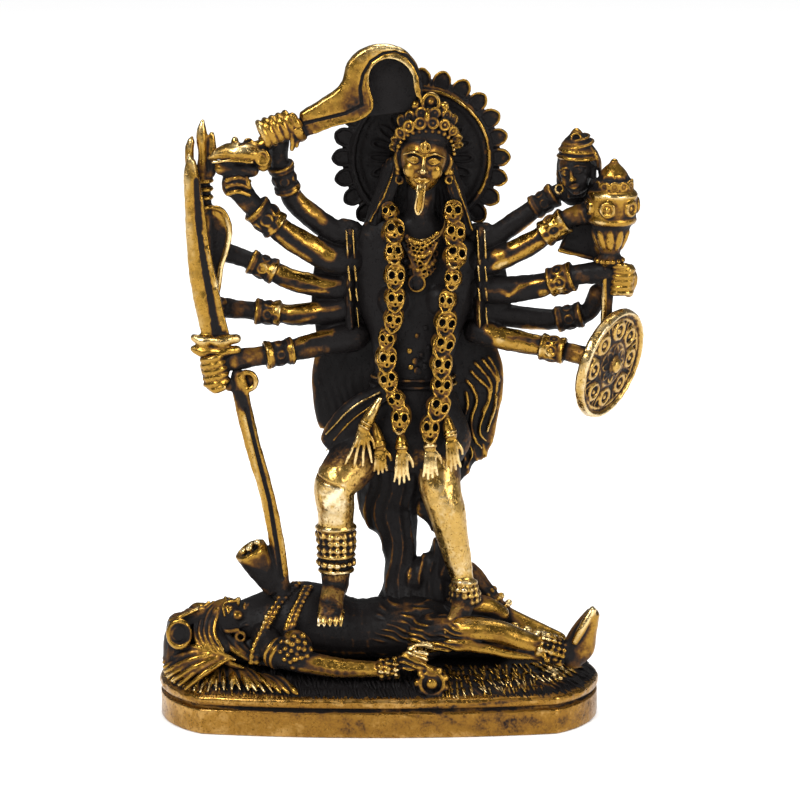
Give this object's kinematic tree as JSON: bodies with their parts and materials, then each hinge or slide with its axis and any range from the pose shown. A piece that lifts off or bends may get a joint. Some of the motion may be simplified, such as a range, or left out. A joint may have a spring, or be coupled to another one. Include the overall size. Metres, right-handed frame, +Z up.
{
  "type": "kali figure",
  "caption": "Small cast brass figure of a many-armed Hindu goddess with halo and skull garland, standing on a reclining god on an oval plinth.",
  "frame": {"origin": "centre of the plinth's underside, on the surface it stands on", "axes": "+Z up, the figure's front faces -Y, and the lying god's head is towards -X"},
  "size_m": [0.0831, 0.0326, 0.1166],
  "materials": {
    "brass": "cast brass, near-black patina in the recesses and polished where it stands proud"
  },
  "bodies": {
    "root": {"kali_figure": "brass"}
  },
  "joints": []
}
